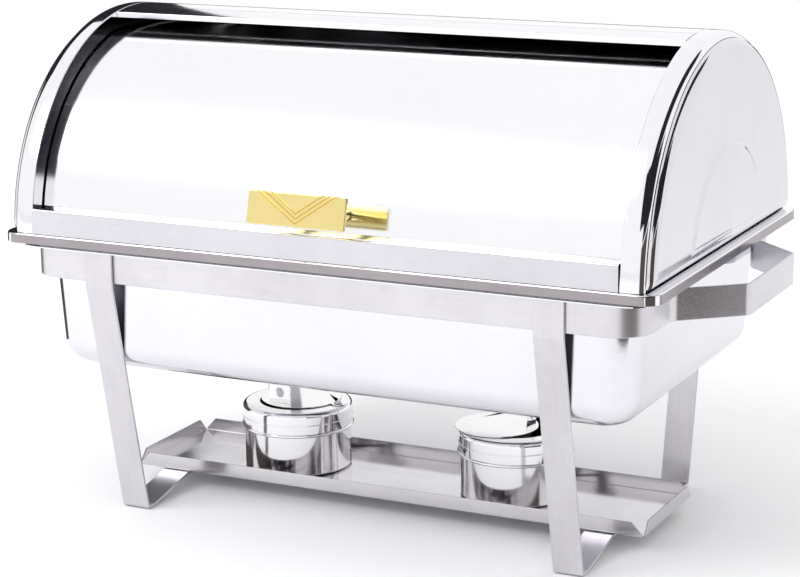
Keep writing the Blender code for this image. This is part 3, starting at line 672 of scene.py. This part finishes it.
def make_covers():
    rear = make_shell("rear", ARCH_INNER_X - GAP, ARCH_RADIUS, SHEET,
                      STRIP_REAR - 0.15, -foot_angle(ARCH_RADIUS - SHEET))
    dress(rear, "rear_cover", "lid", MIRROR)
    cover = make_shell("cover", COVER_HALF_X, COVER_RADIUS, THIN_SHEET,
                       COVER_REAR, COVER_FRONT)
    outward = Vector(on_arch(0, 1, HANDLE_ANGLE)) - Vector((0, CENTRE_Y, AXIS_Z))
    for side in (-1, 1):
        foot = Vector((side * POST_SPACING / 2, CENTRE_Y, AXIS_Z))
        hole = [(COVER_RADIUS - 0.004, SCREW_RADIUS + GAP), (COVER_RADIUS + 0.004, SCREW_RADIUS + GAP)]
        cut(cover, skinned("hole", rod(foot, foot + outward, hole)))
    dress(cover, "roll_cover", "roll_cover", MIRROR)


# ---------------------------------------------------------------- handle

def make_handle():
    centre = Vector((0, CENTRE_Y, AXIS_Z))
    outward = Vector(on_arch(0, 1, HANDLE_ANGLE)) - centre
    upward = Vector(on_arch(0, 1, HANDLE_ANGLE - 90)) - centre
    front = PLATE_BACK + PLATE_THICKNESS

    def spot(across, up, distance):
        return centre + Vector((across, 0, 0)) + upward * up + outward * distance

    soft, soft_steps, rings = 0.0008, 4, []
    for start, direction in ((PLATE_BACK, 1), (front, -1)):
        loops = []
        for step in range(soft_steps + 1):
            angle = math.radians(90 * step / soft_steps)
            inset = soft * (1 - math.sin(angle))
            depth = start + direction * soft * (1 - math.cos(angle))
            half_width, half_height = PLATE_HALF_WIDTH - inset, PLATE_HALF_HEIGHT - inset
            flat = rounded_rectangle(half_width, half_height, 0.0018 - inset, 0, 5)
            loops.append([spot(x, y - CENTRE_Y, depth) for x, y, _ in flat])
        rings += loops if direction > 0 else list(reversed(loops))
    plate = skinned("plate", rings)
    slope, top = 0.70, PLATE_HALF_HEIGHT + 0.002
    groove_half, groove_depth = 0.0008, 0.0008
    for apex in (-0.0105, -0.0066, -0.0027):
        reach = (top - apex) / slope
        path = [Vector((-reach, top)), Vector((0, apex)), Vector((reach, top))]
        loops = []
        for low, middle, high in zip(*(
            [pair[1] for pair in strap_edges(path, False, offset)]
            for offset in (-groove_half, 0.0, groove_half)
        )):
            loops.append([
                spot(low.x, low.y, front + 0.0004),
                spot(high.x, high.y, front + 0.0004),
                spot(middle.x, middle.y, front - groove_depth),
            ])
        cut(plate, skinned("groove", loops))
    dress(plate, "handle_plate", "roll_cover", GOLD)

    seat = COVER_RADIUS + GAP
    for side, name in ((-1, "left"), (1, "right")):
        foot = centre + Vector((side * POST_SPACING / 2, 0, 0))
        bore = SCREW_RADIUS + GAP
        post = [
            (seat + 0.010, bore), (seat, bore), (seat, 0.0043), (seat + 0.0003, 0.0045),
            (seat + 0.0011, 0.0045), (seat + 0.0018, 0.0041), (seat + 0.0030, POST_RADIUS),
            (PLATE_BACK - GAP - 0.0003, POST_RADIUS), (PLATE_BACK - GAP, POST_RADIUS - 0.0003),
        ]
        made = skinned("post", rod(foot, foot + outward, post))
        dress(made, "handle_post_" + name, "roll_cover", GOLD)


# ---------------------------------------------------------------- burners

def turned(profile, centre):
    return [circle(radius, z, centre) for radius, z in profile]


def make_burner(name):
    low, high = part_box("burner_can_" + name)
    centre = ((low.x + high.x) / 2, (low.y + high.y) / 2)
    radius = (high.x - low.x) / 2
    soft, wall = 0.002, THIN_SHEET
    can = []
    for step in range(6):
        angle = math.radians(90 * step / 5)
        can.append((radius - soft * (1 - math.sin(angle)), low.z + soft * (1 - math.cos(angle))))
    can += [
        (radius, high.z), (radius - wall, high.z),
        (radius - wall, low.z + soft), (radius - soft, low.z + wall),
    ]
    made = skinned("can", turned(can, centre))
    dress(made, "burner_can_" + name, "burner_" + name, SPUN_STEEL)

    low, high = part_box("burner_cap_" + name)
    bead = 0.0010
    radius, opening, shoulder = 0.0487, 0.0330, 0.0040
    foot, top = low.z, high.z
    cap = [(radius - wall, foot), (radius, foot)]
    for step in range(1, 8):
        angle = math.radians(180 * step / 8)
        cap.append((radius + bead * math.sin(angle), foot + 1.3 * bead * (1 - math.cos(angle))))
    cap.append((radius, foot + 2.7 * bead))
    groove = foot + 0.0105
    for step in range(5):
        angle = math.radians(180 * step / 4)
        cap.append((radius - 0.0003 * math.sin(angle), groove - 0.0005 * math.cos(angle)))
    for step in range(10):
        angle = math.radians(10 * step)
        cap.append((radius - shoulder * (1 - math.cos(angle)), top - shoulder + shoulder * math.sin(angle)))
    cap += [(opening + 0.0004, top), (opening, top - 0.0004), (opening, top - wall)]
    for step in range(5):
        angle = math.radians(90 - 22.5 * step)
        turn = shoulder - wall
        cap.append((radius - shoulder + turn * math.cos(angle), top - shoulder + turn * math.sin(angle)))
    ring = skinned("cap", turned(cap, centre), True)
    joint = next(j for j in frame["joints"] if j["name"] == "snuffer_" + name + "_turn")
    pivot = Vector(joint["pos_m"])
    hole = [circle(0.0023, z, (pivot.x, pivot.y), 48) for z in (top - 0.003, top + 0.002)]
    cut(ring, skinned("hole", hole))
    dress(ring, "burner_cap_" + name, "burner_cap_" + name, SPUN_STEEL)
    make_snuffer(name, pivot, top)


def make_snuffer(name, pivot, cap_top):
    """The disc on its rivet, with an upright tab. Its place comes from the CAD node."""
    reach, radius, wall = 0.0400, 0.0355, THIN_SHEET
    body = "snuffer_" + name
    points = [vertex.co for vertex in frame["nodes"][body].data.vertices]
    flat = [point for point in points if point.z < cap_top + 0.002]
    far = max(flat, key=lambda point: (point.xy - pivot.xy).length)
    inward = Vector((far.x - pivot.x, far.y - pivot.y)).normalized()
    turn = Matrix.Translation((pivot.x, pivot.y, 0)) @ Matrix.Rotation(
        math.atan2(-inward.y, -inward.x), 4, "Z")
    low = cap_top + GAP
    soft = 0.0002
    disc = skinned("disc", [
        circle(radius - soft, low, (-reach, 0)), circle(radius, low + soft, (-reach, 0)),
        circle(radius, low + wall - soft, (-reach, 0)), circle(radius - soft, low + wall, (-reach, 0))])
    cut(disc, skinned("ear", [circle(0.0060, z, steps=48) for z in (low, low + wall)]), "UNION")
    cut(disc, skinned("hole", [circle(0.0021, z, steps=48) for z in (low - 0.001, low + 0.002)]))
    tab_width, tab_height, corner = 0.0225, 0.0215, 0.005
    edge = -0.0310
    outline = [(-tab_width / 2, low + 0.0002), (tab_width / 2, low + 0.0002)]
    for side, start in ((1, 0), (-1, 90)):
        for step in range(11):
            angle = math.radians(start + 9 * step)
            across = side * (tab_width / 2 - corner) + corner * math.cos(angle)
            outline.append((across, low + tab_height - corner + corner * math.sin(angle)))
    tab = skinned("tab", [[(-reach + a, y, z) for a, z in outline] for y in (edge, edge + wall)])
    start = Vector((-reach, edge - 0.002, low + tab_height - 0.0095))
    cut(tab, skinned("drill", rod(start, start + Vector((0, 1, 0)), [(0, 0.0045), (0.006, 0.0045)])))
    cut(disc, tab, "UNION")
    disc.data.transform(turn)
    dress(disc, body, body, SPUN_STEEL, 0.00015)


# ---------------------------------------------------------------- nodes that stay as the CAD made them

def finish_node(name, finish):
    node = frame["nodes"][name]
    node.data.materials.clear()
    node.data.materials.append(finish)


# ---------------------------------------------------------------- studio

def make_floor():
    bm = bmesh.new()
    bmesh.ops.create_grid(bm, x_segments=8, y_segments=8, size=12.0)
    mesh = bpy.data.meshes.new("floor")
    bm.to_mesh(mesh)
    bm.free()
    made = bpy.data.objects.new("floor", mesh)
    bpy.context.scene.collection.objects.link(made)
    paint = bpy.data.materials.new("pale_floor")
    paint.use_nodes = True
    tree = paint.node_tree
    shader = tree.nodes["Principled BSDF"]
    shader.inputs["Base Color"].default_value = (0.93, 0.93, 0.94, 1.0)
    shader.inputs["Roughness"].default_value = 0.9
    shader.inputs["Specular IOR Level"].default_value = 0.0
    mesh.materials.append(paint)
    made.location = (0, 0, -0.0005)


def make_card(name, centre, width, height, facing, colour):
    """A dark card that only reflections see."""
    half_w, half_h = width / 2, height / 2
    mesh = bpy.data.meshes.new(name)
    corners = [(-half_w, -half_h, 0), (half_w, -half_h, 0), (half_w, half_h, 0), (-half_w, half_h, 0)]
    mesh.from_pydata(corners, [], [(0, 1, 2, 3)])
    made = bpy.data.objects.new(name, mesh)
    bpy.context.scene.collection.objects.link(made)
    made.location = centre
    made.rotation_mode = "QUATERNION"
    made.rotation_quaternion = (Vector(facing) - Vector(centre)).to_track_quat("Z", "Y")
    made.visible_camera = False
    made.visible_diffuse = False
    made.visible_shadow = False
    made.visible_transmission = False
    paint = bpy.data.materials.new(name)
    paint.use_nodes = True
    tree = paint.node_tree
    tree.nodes.clear()
    glow = node_at(tree, "ShaderNodeEmission")
    glow.inputs["Color"].default_value = (*colour, 1.0)
    out = node_at(tree, "ShaderNodeOutputMaterial")
    tree.links.new(glow.outputs["Emission"], out.inputs["Surface"])
    mesh.materials.append(paint)


def make_light(name, place, target, size, power):
    data = bpy.data.lights.new(name, "AREA")
    data.size = size
    data.energy = power
    made = bpy.data.objects.new(name, data)
    bpy.context.scene.collection.objects.link(made)
    made.location = place
    made.rotation_mode = "QUATERNION"
    made.rotation_quaternion = (Vector(place) - Vector(target)).to_track_quat("Z", "Y")


def make_studio():
    make_floor()
    world = bpy.data.worlds.new("studio")
    bpy.context.scene.world = world
    world.use_nodes = True
    world.node_tree.nodes["Background"].inputs["Color"].default_value = (1.0, 1.0, 1.0, 1.0)
    world.node_tree.nodes["Background"].inputs["Strength"].default_value = 1.05
    middle = (0, 0, 0.2)
    near_black, brown = (0.02, 0.022, 0.026), (0.10, 0.078, 0.072)
    make_card("card_behind_camera", (0.95, -1.40, 1.40), 1.3, 1.1, middle, near_black)
    make_card("card_overhead", (1.10, 0.10, 1.90), 0.9, 2.9, (1.10, 0.10, 0), near_black)
    make_card("card_right", (0.90, -0.50, 0.78), 0.85, 0.65, (0.2, -0.2, 0.78), near_black)
    make_card("card_right_low", (0.66, -0.42, 0.19), 0.50, 0.38, (0.2, -0.2, 0.19), brown)
    make_card("card_left", (-0.85, 0.38, 0.50), 0.85, 1.0, (-0.2, 0.1, 0.50), near_black)
    make_card("card_left_low", (-0.64, 0.16, 0.16), 0.40, 0.32, (-0.2, 0.0, 0.16), brown)
    make_card("card_behind", (-0.55, 1.40, 0.235), 1.9, 0.37, (0, 0, 0.235), near_black)
    make_light("key", (-1.2, -1.6, 2.0), middle, 1.4, 26.0)
    scene = bpy.context.scene
    scene.view_settings.view_transform = "Standard"


def make_camera():
    """The view: 26 degrees to the right of the front, 14 degrees above the table."""
    azimuth, elevation, roll = math.radians(26.16), math.radians(13.65), math.radians(-0.66)
    target, distance = Vector((-0.0019, 0, 0.1863)), 1.9769
    back = Vector((
        math.sin(azimuth) * math.cos(elevation),
        -math.cos(azimuth) * math.cos(elevation),
        math.sin(elevation)))
    data = bpy.data.cameras.new("view")
    data.sensor_width = 36.0
    data.lens = 105.14
    data.clip_start, data.clip_end = 0.05, 60.0
    made = bpy.data.objects.new("view", data)
    bpy.context.scene.collection.objects.link(made)
    made.location = target + back * distance
    made.rotation_mode = "QUATERNION"
    level = (-back).to_track_quat("-Z", "Y")
    made.rotation_quaternion = level @ Matrix.Rotation(roll, 4, "Z").to_quaternion()
    bpy.context.scene.camera = made


# ---------------------------------------------------------------- the whole

make_band()
make_shelf()
make_pans()
make_lid_frame()
for side, name in ((-1, "left"), (1, "right")):
    make_leg(side, name)
    make_arch_band(side, name)
    make_end_panel(side, name)
    make_burner(name)
    finish_node("pivot_pin_" + name, SMALL_STEEL)
    finish_node("cover_arm_" + name, SATIN_Z)
    finish_node("handle_screw_" + name, SMALL_STEEL)
    finish_node("snuffer_rivet_" + name, SMALL_STEEL)
make_covers()
make_top_strip()
make_front_rail()
make_handle()
make_studio()
make_camera()

bpy.context.view_layer.update()
